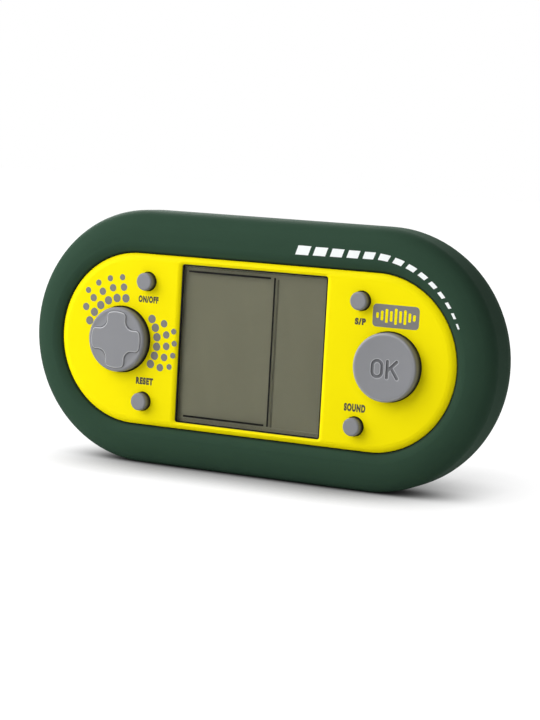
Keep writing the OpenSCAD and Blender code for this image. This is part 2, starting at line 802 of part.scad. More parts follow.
// Direction pad: rounded disc with the raised cross, flange, four stems and the stud's socket.
module dpad() {
    r = dpad_d / 2;
    color("#8f9094") stand() translate(dpad_at) difference() {
        union() {
            rotate_extrude() {
                translate([0, pad_flange_z - pad_flange_t])
                    square([r, dpad_h - key_edge_r - pad_flange_z + pad_flange_t]);
                translate([0, dpad_h - key_edge_r]) square([r - key_edge_r, key_edge_r]);
                translate([r - key_edge_r, dpad_h - key_edge_r]) quarter(key_edge_r);
                translate([0, pad_flange_z - pad_flange_t]) square([pad_flange_r, pad_flange_t]);
            }
            translate([0, 0, dpad_h - key_edge_r]) linear_extrude(key_edge_r + cross_h) cross_outline();
            for (stem = pad_stems) translate(stem) rod(pad_stem_d, pad_pill_z + pill_t, pad_flange_z);
        }
        rod(stud_d + 2 * stud_play, pad_flange_z - pad_flange_t - tiny, pad_socket_z);
    }
}

// Pivot stud under the pad: its nose is part of a ball about the rocking point.
module dpad_pivot() {
    color("#c8c8c8") stand() translate(dpad_at) intersection() {
        rod(stud_d, stud_nose_z - cut_over, pad_socket_z - stud_top_play);
        translate([0, 0, pad_pivot_z]) sphere(pad_pivot_z - stud_nose_z);
    }
}

// Carbon pills under the direction pad.
module dpad_pills() {
    color("#202022") stand() translate(dpad_at) for (stem = pad_stems)
        translate(stem) rod(pad_stem_d, pad_pill_z, pad_pill_z + pill_t);
}

// Bottom of a key's pill at rest, so that full travel stops just short of the board.
function pill_z(travel) = board_z + contact_gap + travel;

// OK key: dished, hollow behind, with one stem.
module ok_button() {
    dish_margin = 0.3;
    dish_reach = ok_d / 2 - key_edge_r - dish_margin;
    dish_ball_r = (dish_reach * dish_reach + ok_dish * ok_dish) / (2 * ok_dish);
    color("#8a8c90") stand() translate(ok_at) difference() {
        union() {
            difference() {
                turned_key(ok_d, ok_h, key_edge_r, ok_d + 2 * key_gap);
                rod(ok_d - 2 * ok_skin, flange_z - flange_t - tiny, ok_h - ok_skin);
            }
            rod(ok_stem_d, pill_z(ok_travel) + pill_t, ok_h - ok_skin + tiny);
        }
        translate([0, 0, ok_h - ok_dish + dish_ball_r]) sphere(dish_ball_r);
    }
}

module ok_pill() {
    color("#202022") stand() translate(ok_at)
        rod(ok_stem_d, pill_z(ok_travel), pill_z(ok_travel) + pill_t);
}

// Small key with its stem, and the pill under it.
module small_key(at) {
    color("#8e8f92") stand() translate(at) {
        turned_key(small_d, small_h, small_edge_r, small_d + 2 * key_gap);
        rod(small_stem_d, pill_z(small_travel) + pill_t, flange_z);
    }
}

module small_pill(at) {
    color("#202022") stand() translate(at)
        rod(small_stem_d, pill_z(small_travel), pill_z(small_travel) + pill_t);
}

module on_off_button() { small_key(on_off_at); }
module on_off_pill() { small_pill(on_off_at); }
module reset_button() { small_key(reset_at); }
module reset_pill() { small_pill(reset_at); }
module start_button() { small_key(start_at); }
module start_pill() { small_pill(start_at); }
module sound_button() { small_key(sound_at); }
module sound_pill() { small_pill(sound_at); }

// Buzzer: brass disc in its seat, with the ceramic on it.
module buzzer_disc() {
    color("#c9a54a") stand() translate([buzzer_x, 0, 0]) rod(buzzer_d, buzzer_z, buzzer_z + buzzer_t);
}

module buzzer_ceramic() {
    color("#e6e0d0") stand() translate([buzzer_x, 0, 0])
        rod(ceramic_d, buzzer_z + buzzer_t, buzzer_z + buzzer_t + ceramic_t);
}

// Battery door: flush panel with two hooks, a spring tab between slits, and grip grooves.
module battery_door() {
    color("#2f4a3a") stand() {
        difference() {
            block(door_l, door_h, back_z, back_inner_z);
            for (side = [-1, 1])
                translate([-door_edge_x - tiny, side * tab_w / 2 - tab_slit / 2, back_z - tiny])
                    cube([tab_l, tab_slit, wall + 2 * tiny]);
            for (i = [1:grip_count])
                translate([i * grip_pitch - door_edge_x, 0, back_z])
                    block(grip_pitch / 2, tab_w - tab_slit - 2 * grip_margin, -tiny, grip_h);
        }
        for (side = [-1, 1]) translate([door_edge_x, side * hook_y - hook_w / 2, back_inner_z]) {
            translate([-hook_root, 0, -tiny]) cube([hook_root, hook_w, hook_t + fit + tiny]);
            translate([-hook_root, 0, fit]) cube([hook_root + hook_out, hook_w, hook_t]);
        }
    }
}

// Battery cell lying along x, its button towards +x: a can, a shrunk end and the button.
module cell() {
    can_l = cell_l - button_h;
    end_l = 0.6;
    end_step = 0.6;
    rotate([0, 90, 0]) {
        cylinder(d = cell_d, h = can_l - end_l);
        translate([0, 0, can_l - end_l - tiny]) cylinder(d = cell_d - 2 * end_step, h = end_l + tiny);
        translate([0, 0, can_l - tiny]) cylinder(d = button_d, h = button_h + tiny);
    }
}

module battery_upper() {
    color("#b8bcc0") stand() translate([cell_start, cell_y, cell_z]) cell();
}

module battery_lower() {
    color("#b8bcc0") stand() translate([-cell_start, -cell_y, cell_z]) rotate([0, 0, 180]) cell();
}

// Tube of diameter d along points, kept square to the path by the given side vectors.
module tube(points, sides_to, d, sides) {
    last = len(points) - 1;
    rings = [for (i = [0:last])
        let (t = unit(points[min(i + 1, last)] - points[max(i - 1, 0)]),
             u = unit(sides_to[i] - (sides_to[i] * t) * t),
             v = cross(t, u))
        for (j = [0:sides - 1])
            points[i] + d / 2 * (cos(360 * j / sides) * u + sin(360 * j / sides) * v)];
    skin = [for (i = [0:last - 1]) for (j = [0:sides - 1]) for (half = [0, 1])
        let (a = i * sides + j, b = i * sides + (j + 1) % sides)
        half == 0 ? [a, a + sides, b] : [b, a + sides, b + sides]];
    caps = [for (j = [1:sides - 2]) for (end = [0, 1])
        let (o = end * last * sides)
        end == 0 ? [o, o + j, o + j + 1] : [o, o + j + 1, o + j]];
    polyhedron(rings, concat(skin, caps), convexity = 6);
}

function unit(v) = v / norm(v);

// Conical battery spring, wide on the contact plate and narrow on the cell.
module battery_spring() {
    turn_steps = 8;
    wire_sides = 6;
    steps = floor(turn_steps * spring_turns);
    rise = spring_l - spring_wire;
    angles = [for (i = [0:steps]) 360 * spring_turns * i / steps];
    spokes = [for (a = angles) [0, cos(a), sin(a)]];
    points = [for (i = [0:steps])
        (spring_big_r + (spring_small_r - spring_big_r) * i / steps) * spokes[i]
        + [spring_wire / 2 + rise * i / steps, 0, 0]];
    tube(points, spokes, spring_wire, wire_sides);
}

module battery_springs() {
    color("#b0b2b4") stand() {
        translate([contact_t - bay_l / 2 + fit, cell_y, cell_z]) battery_spring();
        translate([bay_l / 2 - contact_t - fit, -cell_y, cell_z]) rotate([0, 0, 180]) battery_spring();
    }
}

// The two single contacts, each with a solder tab through the bay's end wall.
module contact_plates() {
    color("#c8cacc") stand() for (side = [-1, 1]) translate([-bay_l / 2, side * cell_y, 0]) {
        translate([contact_t / 2, 0, 0])
            block(contact_t, contact_w, contact_z - contact_h / 2, solder_tab_z + contact_t);
        translate([bay_l / 2 - solder_tab_x, -solder_tab_w / 2, solder_tab_z])
            cube([solder_tab_x - bay_l / 2 + tiny, solder_tab_w, contact_t]);
    }
}

// The bridge that joins the two cells at the other end.
module contact_bridge() {
    color("#c8cacc") stand() translate([bay_l / 2 - contact_t / 2, 0, 0])
        block(contact_t, 2 * cell_y + contact_w, contact_z - contact_h / 2, contact_z + contact_h / 2);
}

// Wire from one height to another in a soft double bend, in the plane of x and z.
module bent_wire(from, to) {
    steps = 12;
    wire_sides = 8;
    lift = [0, 0, wire_bend];
    straight = lift / 20;
    points = [for (i = [0:steps])
        let (t = i / steps)
        pow(1 - t, 3) * from + 3 * t * pow(1 - t, 2) * (from + lift)
        + 3 * t * t * (1 - t) * (to - lift) + pow(t, 3) * to];
    ends = concat([from, from + straight], [for (i = [1:steps - 1]) points[i]], [to - straight, to]);
    tube(ends, [for (p = ends) [0, 1, 0]], wire_d, wire_sides);
}

module battery_wires() {
    color("#b03028") stand() for (side = [-1, 1])
        bent_wire([wire_d / 2 + fit - solder_tab_x, side * cell_y, solder_tab_z + contact_t],
                  [wire_d / 2 - solder_tab_x - battery_wire_shift, side * cell_y, board_back]);
}

module buzzer_wires() {
    color("#202020") stand() {
        bent_wire([buzzer_x, 0, buzzer_z + buzzer_t + ceramic_t],
                  [buzzer_x - buzzer_wire_shift, 0, board_back]);
        bent_wire([buzzer_x, buzzer_wire_y, buzzer_z + buzzer_t],
                  [buzzer_x - buzzer_wire_shift, buzzer_wire_y, board_back]);
    }
}

// Screw pointing out of the face: head behind z = 0, shank in front, with a cross recess.
module screw(d, shank, head_d, head_h) {
    slot_w = head_d / 6;
    slot_l = 3.6 * slot_w;
    slot_floor = -head_h / 2;
    difference() {
        union() {
            rod(d, -tiny, shank);
            rod(head_d, -head_h, 0);
        }
        for (turn = [0, 90]) rotate([0, 0, turn])
            block(slot_l, slot_w, -head_h - tiny, slot_floor);
    }
}

module case_screws() {
    color("#a8aaac") stand() for (at = screw_places) translate([at[0], at[1], screw_seat_z])
        screw(screw_d, screw_tip_z - screw_seat_z, screw_head_d, screw_head_h);
}

module board_screws() {
    color("#a8aaac") stand() for (at = board_screw_places) translate([at[0], at[1], board_back])
        screw(board_screw_d, board_t + key_room - board_screw_end_room,
              board_screw_head_d, board_screw_head_h);
}

front_shell();
rear_shell();
faceplate();
screen_lens();
window_seal();
lcd_panel();
lcd_reflector();
lcd_frame();
contact_strips();
main_board();
chip_blob();
crystal();
capacitors();
left_key_mat();
right_key_mat();
dpad();
dpad_pivot();
dpad_pills();
ok_button();
ok_pill();
on_off_button();
on_off_pill();
reset_button();
reset_pill();
start_button();
start_pill();
sound_button();
sound_pill();
buzzer_disc();
buzzer_ceramic();
buzzer_wires();
battery_door();
battery_upper();
battery_lower();
battery_springs();
contact_plates();
contact_bridge();
battery_wires();
case_screws();
board_screws();
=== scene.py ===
"""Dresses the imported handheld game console: moulded shells, lettered face plate, keys and a grey screen."""
import math

import bpy
import numpy as np
from mathutils import Matrix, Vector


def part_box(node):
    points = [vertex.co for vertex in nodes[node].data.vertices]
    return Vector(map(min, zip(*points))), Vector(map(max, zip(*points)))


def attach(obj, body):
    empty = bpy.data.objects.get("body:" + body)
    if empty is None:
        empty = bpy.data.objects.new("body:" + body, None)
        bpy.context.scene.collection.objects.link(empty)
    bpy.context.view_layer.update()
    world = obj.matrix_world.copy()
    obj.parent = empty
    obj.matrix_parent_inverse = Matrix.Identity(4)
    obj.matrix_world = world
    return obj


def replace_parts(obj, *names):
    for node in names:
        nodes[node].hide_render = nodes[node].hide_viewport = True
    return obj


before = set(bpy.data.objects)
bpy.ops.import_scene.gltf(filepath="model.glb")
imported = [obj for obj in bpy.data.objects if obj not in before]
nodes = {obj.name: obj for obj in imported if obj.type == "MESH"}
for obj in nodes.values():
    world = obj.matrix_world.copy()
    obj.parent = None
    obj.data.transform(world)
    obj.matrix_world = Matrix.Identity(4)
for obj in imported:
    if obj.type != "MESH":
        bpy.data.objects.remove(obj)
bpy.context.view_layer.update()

# Rear shell: a deep tray of dark green moulded plastic with a soft, fine-grained finish.
# It carries the screw posts, the battery bay and the sound holes, and meets the front shell edge to edge.
CLOUDS, GLOSS_SWAY, BUMP_DEPTH = 90, 0.06, 0.0001  # colour patches per metre, gloss either way, metres


def linear(*rgb):
    """Colour written as 0 to 255 on the screen, turned into scene values by the screen's own curve."""
    c = np.array(rgb, float) / 255
    lin = np.where(c <= 0.04045, c / 12.92, ((c + 0.055) / 1.055) ** 2.4)
    return (*lin.tolist(), 1.0)


def link_noise(tree, scale, detail, roughness):
    """Noise on Object coordinates, which are metres of the part, so scale counts grains per metre."""
    place = tree.nodes.new("ShaderNodeTexCoord")
    noise = tree.nodes.new("ShaderNodeTexNoise")
    noise.inputs["Scale"].default_value = scale
    noise.inputs["Detail"].default_value = detail
    noise.inputs["Roughness"].default_value = roughness
    tree.links.new(place.outputs["Object"], noise.inputs["Vector"])
    return noise.outputs["Fac"]


def ranged(tree, value, low=0.0, high=1.0, first=0.0, last=1.0, smooth=False):
    """Ramp of a value: first at low, last at high, level beyond them, and straight or S-shaped between."""
    ramp = tree.nodes.new("ShaderNodeMapRange")
    ramp.interpolation_type = "SMOOTHSTEP" if smooth else "LINEAR"
    for socket, number in zip(("From Min", "From Max", "To Min", "To Max"), (low, high, first, last)):
        ramp.inputs[socket].default_value = number
    tree.links.new(value, ramp.inputs["Value"])
    return ramp.outputs["Result"]


def moulded(name, colour, roughness, grain=2600, relief=0.06, drift=0.05, metallic=0.0, specular=0.3):
    """Moulded surface: the colour drifts a little over centimetres, and a fine grain gives
    a shallow bump and uneven gloss."""
    material = bpy.data.materials.new(name)
    material.use_nodes = True
    tree = material.node_tree
    shader = tree.nodes["Principled BSDF"]
    shader.inputs["Metallic"].default_value = metallic
    shader.inputs["Specular IOR Level"].default_value = specular
    tint = tree.nodes.new("ShaderNodeMix")
    tint.data_type = "RGBA"
    low = np.array(linear(*colour)) * (1 - drift)
    high = np.array(linear(*colour)) * (1 + drift)
    tint.inputs["A"].default_value = (*low[:3], 1)
    tint.inputs["B"].default_value = (*high[:3], 1)
    tree.links.new(link_noise(tree, CLOUDS, 3, 0.6), tint.inputs["Factor"])
    tree.links.new(tint.outputs["Result"], shader.inputs["Base Color"])
    grains = link_noise(tree, grain, 2, 0.5)
    gloss = ranged(tree, grains, first=roughness - GLOSS_SWAY, last=roughness + GLOSS_SWAY)
    tree.links.new(gloss, shader.inputs["Roughness"])
    bump = tree.nodes.new("ShaderNodeBump")
    bump.inputs["Strength"].default_value = relief
    bump.inputs["Distance"].default_value = BUMP_DEPTH
    tree.links.new(grains, bump.inputs["Height"])
    tree.links.new(bump.outputs["Normal"], shader.inputs["Normal"])
    return material


def dress(material, *names):
    """Gives a CAD node its finish; its shape and place stay as packed."""
    for name in names:
        nodes[name].data.materials.clear()
        nodes[name].data.materials.append(material)


SHELL_FINISH = dict(colour=(46, 68, 54), roughness=0.6, grain=3200, relief=0.12, specular=0.02)
soft_green = moulded("soft_green", **SHELL_FINISH)
dress(soft_green, "rear_shell")

# Battery parts: two cells in plain metal jackets, held between nickel-plated springs and sheet contacts.
# The springs and contacts slide into slots of the bay; red leads go from their tabs to the board.
cell_jacket = moulded("cell_jacket", (150, 156, 164), 0.34, grain=900, relief=0.02, metallic=0.8)
nickel = moulded("nickel", (198, 200, 202), 0.28, grain=1800, relief=0.03, metallic=1.0)
red_lead = moulded("red_lead", (166, 40, 34), 0.45)
dress(cell_jacket, "battery_upper", "battery_lower")
dress(nickel, "battery_springs", "contact_plates", "contact_bridge")
dress(red_lead, "battery_wires")

# Buzzer: a thin brass disc with a silvered ceramic on it, clipped into a ring on the rear wall.
# Two black leads are soldered to it.
brass = moulded("brass", (201, 165, 76), 0.3, grain=1500, relief=0.03, metallic=1.0)
ceramic = moulded("ceramic", (226, 220, 204), 0.5, grain=4000, relief=0.05)
black_lead = moulded("black_lead", (26, 26, 27), 0.45)
dress(brass, "buzzer_disc")
dress(ceramic, "buzzer_ceramic")
dress(black_lead, "buzzer_wires")

# Main board: brown paper laminate, screwed to the front shell, with a black epoxy blob over the chip,
# a crystal in a pressed can and two small capacitors.
laminate = moulded("laminate", (158, 118, 62), 0.5, grain=1200, relief=0.05, drift=0.12)
epoxy = moulded("epoxy", (18, 18, 19), 0.22, grain=500, relief=0.05)
sleeve = moulded("sleeve", (36, 46, 74), 0.3, grain=1500, relief=0.03)
dress(laminate, "main_board")
dress(epoxy, "chip_blob")
dress(nickel, "crystal")
dress(sleeve, "capacitors")

# Key mats: milky silicone sheets between the keys and the board.
# Carbon pills under the keys close the contacts, and a plain plastic stud carries the direction pad.
silicone = moulded("silicone", (214, 214, 206), 0.6, grain=1800, relief=0.08)
carbon = moulded("carbon", (30, 30, 32), 0.75, grain=4000, relief=0.1)
stud_plastic = moulded("stud_plastic", (200, 200, 200), 0.45)
dress(silicone, "left_key_mat", "right_key_mat")
dress(carbon, "dpad_pills", "ok_pill", "on_off_pill", "reset_pill", "start_pill", "sound_pill")
dress(stud_plastic, "dpad_pivot")

# Screen: an olive grey liquid crystal panel on a dull reflector, clamped by a white frame on rubber strips.
# Black lines printed on the lens bound the field; the upright one's shade on the panel behind it is a
# painted shadow, a faint grey strip.
MM = 0.001
FACE_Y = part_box("faceplate")[0].y
PLATE_Z = (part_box("faceplate")[0].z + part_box("faceplate")[1].z) / 2


def stack(name, *bodies):
    """Closed bodies through stacked loops, each an array of loop x point x 3: a loop joins the next one
    point to point, a fan about its mean closes either end, and a negative volume turns the faces round."""
    vertices, faces, start = [], [], 0
    for rings in bodies:
        loops, points, _ = rings.shape
        spots = np.vstack([rings.reshape(-1, 3), rings[0].mean(0), rings[-1].mean(0)])
        here = np.arange(loops * points).reshape(loops, points)
        there = np.roll(here, -1, 1)
        quads = np.stack([here[:-1], there[:-1], there[1:], here[1:]], -1).reshape(-1, 4)
        first = np.stack([np.full(points, loops * points), there[0], here[0]], -1)
        last = np.stack([np.full(points, loops * points + 1), here[-1], there[-1]], -1)
        corners = np.vstack([quads[:, [0, 1, 2]], quads[:, [0, 2, 3]], first, last])
        a, b, c = (spots[corners[:, i]] - spots.mean(0) for i in range(3))
        step = 1 if np.einsum("ij,ij->", a, np.cross(b, c)) > 0 else -1
        for part in (quads, first, last):
            faces += (part[:, ::step] + start).tolist()
        vertices.append(spots)
        start += len(spots)
    mesh = bpy.data.meshes.new(name)
    mesh.from_pydata(np.vstack(vertices).tolist(), [], faces)
    mesh.shade_smooth()
    mesh.set_sharp_from_angle(angle=math.radians(38))
    return mesh


def add_piece(name, mesh, material, body):
    """Puts a finished mesh into the scene at the origin and lets it ride on its body."""
    thing = bpy.data.objects.new(name, mesh)
    bpy.context.scene.collection.objects.link(thing)
    mesh.materials.append(material)
    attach(thing, body)
    return thing


def on_face(x, z, out):
    """Points given in millimetres right of and above the plate's centre and out of its front."""
    return np.stack(np.broadcast_arrays(x * MM, FACE_Y - out * MM, PLATE_Z + z * MM), -1)


def slab(x, z, low, high):
    """Loops of a flat slab with that outline between two heights."""
    return np.stack([on_face(x, z, low), on_face(x, z, high)])


liquid_crystal = moulded("liquid_crystal", (154, 153, 129), 0.5, grain=5000, relief=0.02, drift=0.03,
                         specular=0.1)
reflector = moulded("reflector", (168, 168, 156), 0.5, grain=6000, relief=0.1, metallic=0.8)
frame_white = moulded("frame_white", (226, 226, 220), 0.55)
strip_rubber = moulded("strip_rubber", (52, 52, 54), 0.7)
dress(liquid_crystal, "lcd_panel")
dress(reflector, "lcd_reflector")
dress(frame_white, "lcd_frame")
dress(strip_rubber, "contact_strips")

LINE_W = 0.58
LENS_OUT, PANEL_OUT, LINE_T = -1.2, -2.0, 0.02
LINES = np.array([(-22.4, 21.8, 4.85, 21.8), (6.5, -22.0, 6.5, 21.7), (-21.9, -22.0, 5.0, -22.0)])
# painted shadow of the upright line, drawn as a grey strip on the panel
SHADE = np.array([(7.3, -22.2, 7.3, 21.2)])


def line_slabs(ends, low):
    """One slab for each straight line from x0, z0 to x1, z1, half a line wider all round."""
    grow = np.array([-0.5, 0.5]) * LINE_W
    return [slab((grow + (x0, x1))[[0, 1, 1, 0]], (grow + (z0, z1))[[0, 0, 1, 1]], low, low + LINE_T)
            for x0, z0, x1, z1 in ends]


line_black = moulded("line_black", (4, 4, 4), 0.5, relief=0.02, specular=0.1)
line_shade = moulded("line_shade", (88, 87, 72), 0.5, relief=0.02, specular=0.1)
lines_mesh = stack("field_lines", *line_slabs(LINES, LENS_OUT))
shade_mesh = stack("field_shade", *line_slabs(SHADE, PANEL_OUT))
add_piece("field_lines", lines_mesh, line_black, "case")
add_piece("field_shade", shade_mesh, line_shade, "case")

# Lens and seal: a clear sheet glued into the plate's rebate over the panel,
# with a black rubber frame between its face and the window's rolled edge.
clear_sheet = moulded("clear_sheet", (150, 150, 136), 0.25, grain=5000, relief=0.01, specular=0.1)
clear_sheet.node_tree.nodes["Principled BSDF"].inputs["Alpha"].default_value = 0.03
seal_rubber = moulded("seal_rubber", (15, 15, 15), 0.7, relief=0.08, specular=0.15)
dress(clear_sheet, "screen_lens")
dress(seal_rubber, "window_seal")

# Front shell: the same green plastic, with a low crowned rim that turns down to the seam round the plate.
# A run of slanted white dashes is printed along its upper right, each a little smaller than the last.
rim_green = moulded("rim_green", **SHELL_FINISH)
dress(rim_green, "front_shell")
MIDDLE_Z = (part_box("front_shell")[0].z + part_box("front_shell")[1].z) / 2
CASE_HALF, PLATE_HALF, PLATE_DROP = 38.3, 39.9, 0.5
CREST, CROWN_FROM, CROWN_R, LIP_FROM, LIP_R = 0.6, 31.12, 9.49, 29.55, 4.4
DASHES, DASH_START, DASH_GAP, DASH_MID, DASH_SLANT = 14, 14.0, 1.5, 30.4, 0.35
DASH_L, DASH_H, RIM_INK = (4.2, 1.6), (2.7, 0.6), 0.03
# painted shade in the seam: full within the first distance of the plate's spine, gone beyond the second, in
# this colour
SEAM_FROM, SEAM_TO, SEAM_PAINTED_SHADE = 26.1, 26.9, (12, 17, 12)


def math_node(tree, operation, first, second):
    """One arithmetic node; each side is a socket or a number."""
    node = tree.nodes.new("ShaderNodeMath")
    node.operation = operation
    for socket, value in zip(node.inputs, (first, second)):
        if isinstance(value, (int, float)):
            socket.default_value = value
        else:
            tree.links.new(value, socket)
    return node.outputs["Value"]


def object_axes(tree):
    """X, Y and Z of Object coordinates, in metres of the part."""
    place = tree.nodes.new("ShaderNodeTexCoord")
    split = tree.nodes.new("ShaderNodeSeparateXYZ")
    tree.links.new(place.outputs["Object"], split.inputs["Vector"])
    return split.outputs


def lay_over(material, share, colour):
    """Puts another colour over a finish's own, by a share from 0 to 1 that a socket gives."""
    tree = material.node_tree
    base = tree.nodes["Principled BSDF"].inputs["Base Color"]
    blend = tree.nodes.new("ShaderNodeMix")
    blend.data_type = "RGBA"
    blend.inputs["B"].default_value = linear(*colour)
    tree.links.new(share, blend.inputs["Factor"])
    tree.links.new(base.links[0].from_socket, blend.inputs["A"])
    tree.links.new(blend.outputs["Result"], base)


def shade_seam(material):
    """Painted shade in the seam: the colour falls off over a millimetre towards the plate, by the
    distance in Object coordinates from the plate's spine, a level segment through its middle."""
    tree = material.node_tree
    axes = object_axes(tree)
    size = math_node(tree, "ABSOLUTE", axes["X"], 0)
    past = math_node(tree, "MAXIMUM", math_node(tree, "SUBTRACT", size, PLATE_HALF * MM), 0)
    rise = math_node(tree, "SUBTRACT", axes["Z"], PLATE_Z)
    square = math_node(tree, "ADD", math_node(tree, "MULTIPLY", past, past),
                       math_node(tree, "MULTIPLY", rise, rise))
    away = math_node(tree, "SQRT", square, 0)
    lay_over(material, ranged(tree, away, SEAM_TO * MM, SEAM_FROM * MM), SEAM_PAINTED_SHADE)


# the rim gets painted shade towards the seam
shade_seam(rim_green)


def rim_out(x, z):
    """Height of the rim over the plate's front: the flat crest, less the sag of the lip's arc where
    the plate's spine is nearer than its reach, less the sag of the crown's arc beyond its start."""
    to_plate = np.hypot(np.maximum(np.abs(x) - PLATE_HALF, 0), z + PLATE_DROP)
    to_case = np.hypot(np.maximum(np.abs(x) - CASE_HALF, 0), z)
    inner = np.maximum(LIP_FROM - to_plate, 0)
    outer = np.maximum(to_case - CROWN_FROM, 0)
    lip_sag = LIP_R - np.sqrt(LIP_R ** 2 - inner ** 2)
    crown_sag = CROWN_R - np.sqrt(CROWN_R ** 2 - outer ** 2)
    return CREST - lip_sag - crown_sag


def rim_dash(start, length, height):
    """Slanted dash on the rim: a grid along and across the rim, bent round the case's end,
    laid on the crown and doubled underneath into closed cross-sections."""
    across = np.linspace(-0.5, 0.5, 7) * height
    along = np.linspace(start, start + length, 9)[:, None] + across * DASH_SLANT
    turn = np.maximum(along - CASE_HALF, 0) / DASH_MID
    reach = DASH_MID + across
    x = np.minimum(along, CASE_HALF) + reach * np.sin(turn)
    z = reach * np.cos(turn)
    top = np.stack([x, rim_out(x, z) + RIM_INK, z], -1)
    low = top - (0, 2 * RIM_INK, 0)
    loop = np.concatenate([top, low[:, ::-1]], 1)
    return np.stack([loop[..., 0] * MM, FACE_Y - loop[..., 1] * MM, MIDDLE_Z + loop[..., 2] * MM], -1)


dash_l = np.linspace(*DASH_L, DASHES)
dash_h = np.linspace(*DASH_H, DASHES)
dash_from = DASH_START + np.concatenate([[0], np.cumsum(dash_l[:-1] + DASH_GAP)])
white_ink = moulded("white_ink", (233, 237, 237), 0.55, relief=0.04, drift=0.02)
dash_mesh = stack("rim_dashes", *map(rim_dash, dash_from, dash_l, dash_h))
add_piece("rim_dashes", dash_mesh, white_ink, "case")

# Face plate: bright yellow plastic with a satin gloss and a rolled edge, staked into the front shell.
# Its words are printed in a dark grey, and the dots and the panel of level bars in a lighter one; the bars
# are left in the plate's yellow.
plate_yellow = moulded("plate_yellow", (240, 224, 4), 0.45, grain=2400, relief=0.03, drift=0.012,
                       specular=0.03)
dress(plate_yellow, "faceplate")
INK_OUT, LETTER_BOLD, LETTER_SPACE = 0.02, 0.07, 1.22
ink_grey = moulded("ink_grey", (122, 121, 118), 0.55, relief=0.03, specular=0.15)
word_grey = moulded("word_grey", (78, 75, 62), 0.55, relief=0.03, specular=0.1)


def lettering(name, words, x, z, width, height):
    """Printed word: the outline letters of the built-in face are thickened, filled, scaled to the given
    width and height, and laid on the plate."""
    curve = bpy.data.curves.new(name, "FONT")
    curve.body = words
    curve.extrude = 0.01
    curve.offset = LETTER_BOLD
    curve.space_character = LETTER_SPACE
    thing = bpy.data.objects.new(name, curve)
    mesh = bpy.data.meshes.new_from_object(thing)
    bpy.data.objects.remove(thing)
    flat = np.empty(len(mesh.vertices) * 3)
    mesh.vertices.foreach_get("co", flat)
    flat = flat.reshape(-1, 3)
    low, high = flat.min(0), flat.max(0)
    at = (flat - low) / (high - low)
    mesh.vertices.foreach_set("co", on_face(
        x + (at[:, 0] - 0.5) * width, z + (at[:, 1] - 0.5) * height, at[:, 2] * INK_OUT).ravel())
    mesh.update()
    add_piece(name, mesh, word_grey, "case")


lettering("word_on_off", "ON/OFF", -35.6, 12.25, 7.0, 2.1)
lettering("word_reset", "RESET", -35.6, -12.7, 6.0, 2.2)
lettering("word_s_p", "S/P", 35.5, 11.7, 3.5, 2.0)
lettering("word_sound", "SOUND", 35.3, -13.5, 6.85, 2.35)


def key_centre(node):
    """Middle of a key in millimetres from the plate's centre."""
    low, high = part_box(node)
    return np.array([(low.x + high.x) / 2, (low.z + high.z) / 2 - PLATE_Z]) / MM


def disc(x, z, radius):
    """Slab of a printed round dot."""
    turn = np.linspace(0, 2 * np.pi, 28, endpoint=False)
    return slab(x + radius * np.cos(turn), z + radius * np.sin(turn), 0, INK_OUT)


def rounded(x, z, width, height, corner):
    """Outline of a rectangle with round corners: four quarter arcs about the corner centres."""
    turn = np.radians(np.repeat([0, 90, 180, 270], 9) + np.tile(np.linspace(0, 90, 9), 4))
    side = np.repeat([[1, 1], [-1, 1], [-1, -1], [1, -1]], 9, 0)
    return (x + side[:, 0] * (width / 2 - corner) + corner * np.cos(turn),
            z + side[:, 1] * (height / 2 - corner) + corner * np.sin(turn))


# each arc of dots: reach from the pad's middle, dot radius, first and last angle, number of dots
ARCS = ((12.6, 1.3, 86, 158, 6), (15.9, 1.15, 90, 146, 5), (18.9, 0.95, 92, 132, 4),
        (12.6, 1.3, -32, 34, 6), (15.9, 1.15, -28, 22, 5), (18.6, 0.9, -22, 12, 4))
pad_x, pad_z = key_centre("dpad")
dots = [disc(pad_x + reach * math.cos(a), pad_z + reach * math.sin(a), radius)
        for reach, radius, a0, a1, count in ARCS for a in np.radians(np.linspace(a0, a1, count))]
add_piece("pad_dots", stack("pad_dots", *dots), ink_grey, "case")

PANEL_AT, PANEL_SIZE, PANEL_CORNER = (46.6, 14.0), (14.6, 6.6), 1.2
BAR_W, BAR_PITCH, BAR_CORNER = 0.85, 1.45, 0.3
BARS = np.array([1.6, 2.8, 4.0, 3.0, 4.6, 3.4, 4.2, 2.6, 1.8])
level_panel = slab(*rounded(*PANEL_AT, *PANEL_SIZE, PANEL_CORNER), 0, INK_OUT)
bar_x = PANEL_AT[0] + (np.arange(len(BARS)) - (len(BARS) - 1) / 2) * BAR_PITCH
level_bars = [slab(*rounded(x, PANEL_AT[1], BAR_W, h, BAR_CORNER), INK_OUT / 2, 2 * INK_OUT)
              for x, h in zip(bar_x, BARS)]
add_piece("level_panel", stack("level_panel", level_panel), ink_grey, "case")
add_piece("level_bars", stack("level_bars", *level_bars), plate_yellow, "case")

# Keys: satin grey plastic caps that stand out of the plate on hidden flanges.
# The pad carries a raised cross with soft edges, and the OK key is dished and has its word sunk into it.
key_grey = moulded("key_grey", (131, 132, 136), 0.55, grain=2800, relief=0.05, drift=0.03, specular=0.18)
# painted shade on a key's side: none at the first height out of the plate's front, full at the second and
# below
GAP_FROM, GAP_TO = 2.3, 0.2
# colours of the painted highlight on edges, the painted shade in sunk lines and the painted shade at the foot
KEY_PAINTED_HIGHLIGHT, KEY_PAINTED_SHADE, KEY_FOOT_SHADE = (196, 197, 201), (84, 85, 88), (34, 34, 36)


